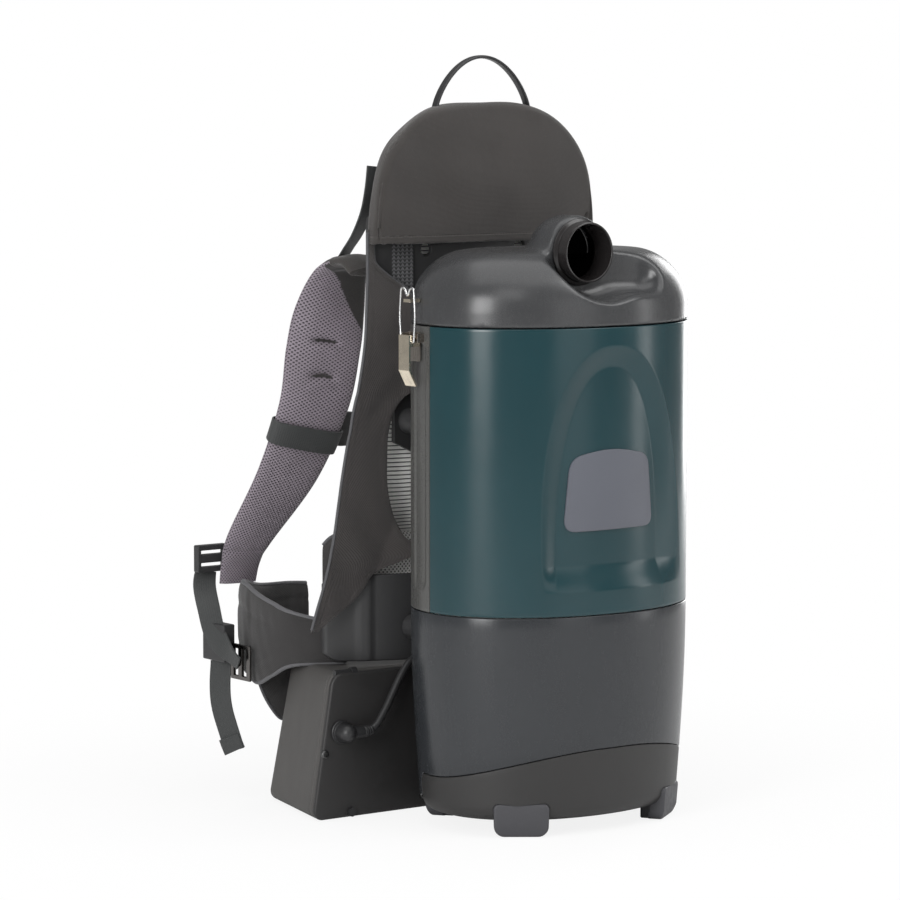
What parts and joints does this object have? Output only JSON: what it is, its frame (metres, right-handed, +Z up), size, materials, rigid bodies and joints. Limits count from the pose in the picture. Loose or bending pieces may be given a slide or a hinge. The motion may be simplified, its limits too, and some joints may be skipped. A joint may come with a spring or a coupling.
{
  "type": "backpack vacuum cleaner",
  "caption": "Battery backpack vacuum cleaner with an oval canister, a hose inlet in its latched lid, a padded harness with hip belt and a battery box.",
  "frame": {"origin": "on the floor, under the middle of the whole part's box", "axes": "+X towards the right-hand side seen from the canister's front, +Y from the canister to the wearer's back, +Z up along the part's greatest length"},
  "size_m": [0.4124, 0.4191, 0.712],
  "materials": {
    "lid_plastic": "satin",
    "housing_plastic": "satin",
    "chamber_plastic": "satin",
    "base_plastic": "matte",
    "foot_rubber": "matte",
    "cover_green": "satin",
    "badge_grey": "satin",
    "port_plastic": "gloss",
    "seal_rubber": "matte",
    "latch_metal": "satin",
    "steel": "satin",
    "motor_metal": "satin",
    "winding": "satin",
    "fan_plastic": "satin",
    "filter_cloth": "matte",
    "bag_paper": "matte",
    "collar_card": "matte",
    "harness_plastic": "satin",
    "pack_fabric": "matte",
    "pad_mesh": "matte",
    "belt_fabric": "matte",
    "webbing": "matte",
    "box_plastic": "matte",
    "battery_case": "satin",
    "cable_rubber": "satin",
    "rocker_plastic": "gloss"
  },
  "bodies": {
    "canister": {"motor_housing": "housing_plastic", "base_cap": "base_plastic", "feet": "foot_rubber", "filter_chamber": "chamber_plastic", "front_cover": "cover_green", "badge_plate": "badge_grey", "chamber_floor": "harness_plastic", "motor_gasket": "seal_rubber", "motor_case": "motor_metal", "motor_bearings": "steel", "stator": "winding", "exhaust_filter": "filter_cloth", "cloth_filter": "filter_cloth", "paper_bag": "bag_paper", "bag_collar": "collar_card", "latch_bases": "latch_metal", "back_plate": "harness_plastic", "lumbar_shell": "harness_plastic", "standoffs": "harness_plastic", "plate_screws": "steel", "torso_straps": "webbing", "back_pad": "pad_mesh", "lumbar_pad": "belt_fabric", "hood": "pack_fabric", "carry_handle": "webbing", "side_panel_left": "pack_fabric", "side_panel_right": "pack_fabric", "shoulder_pad_left": "pad_mesh", "shoulder_pad_right": "pad_mesh", "load_lifters": "webbing", "sternum_bands": "webbing", "sternum_sliders": "harness_plastic", "sternum_strap": "webbing", "ladder_locks": "harness_plastic", "lower_straps": "webbing", "belt_wing_left": "belt_fabric", "belt_wing_right": "belt_fabric", "belt_glides": "steel", "belt_straps": "webbing", "waist_buckle_socket": "harness_plastic", "waist_buckle_clip": "harness_plastic", "battery_tub": "box_plastic", "battery_cover": "box_plastic", "battery_packs": "battery_case", "cover_screws": "harness_plastic", "cable_plug": "harness_plastic", "cable_gland": "harness_plastic", "power_cable": "cable_rubber"},
    "fan": {"fan_wheel": "fan_plastic", "armature": "steel"},
    "lever_left": {"latch_lever_left": "latch_metal"},
    "bail_left": {"latch_bail_left": "latch_metal"},
    "lever_right": {"latch_lever_right": "latch_metal"},
    "bail_right": {"latch_bail_right": "latch_metal"},
    "lid": {"lid": "lid_plastic", "lid_seal": "seal_rubber", "hose_port": "port_plastic", "inlet_elbow": "harness_plastic", "lid_catches": "latch_metal"},
    "rocker": {"switch_rocker": "rocker_plastic"}
  },
  "joints": [
    {"name": "fan_spin", "type": "hinge", "parent": "canister", "child": "fan", "pos_m": [0, -0.10375, 0.1], "axis": [0, 0, 1], "continuous": true},
    {"name": "latch_left", "type": "hinge", "parent": "canister", "child": "lever_left", "pos_m": [-0.14147, -0.08175, 0.452], "axis": [0, 1, 0], "range_deg": [0, 100]},
    {"name": "bail_left_swing", "type": "hinge", "parent": "lever_left", "child": "bail_left", "pos_m": [-0.14647, -0.08175, 0.448], "axis": [0, 1, 0], "range_deg": [-160, 0]},
    {"name": "latch_right", "type": "hinge", "parent": "canister", "child": "lever_right", "pos_m": [0.14147, -0.08175, 0.452], "axis": [0, -1, 0], "range_deg": [0, 100]},
    {"name": "bail_right_swing", "type": "hinge", "parent": "lever_right", "child": "bail_right", "pos_m": [0.14647, -0.08175, 0.448], "axis": [0, -1, 0], "range_deg": [-160, 0]},
    {"name": "lid_tilt", "type": "hinge", "parent": "canister", "child": "lid", "pos_m": [0, -0.20775, 0.463], "axis": [1, 0, 0], "range_deg": [0, 40]},
    {"name": "switch_rock", "type": "hinge", "parent": "canister", "child": "rocker", "pos_m": [0.15, 0.00265, 0.092], "axis": [1, 0, 0], "range_deg": [-12, 0]}
  ],
  "couplings": [
    {"joint": "bail_left_swing", "follows": "latch_left", "ratio": -1.6},
    {"joint": "latch_right", "follows": "latch_left", "ratio": 1},
    {"joint": "bail_right_swing", "follows": "latch_left", "ratio": -1.6},
    {"joint": "lid_tilt", "follows": "latch_left", "ratio": 0.4}
  ]
}
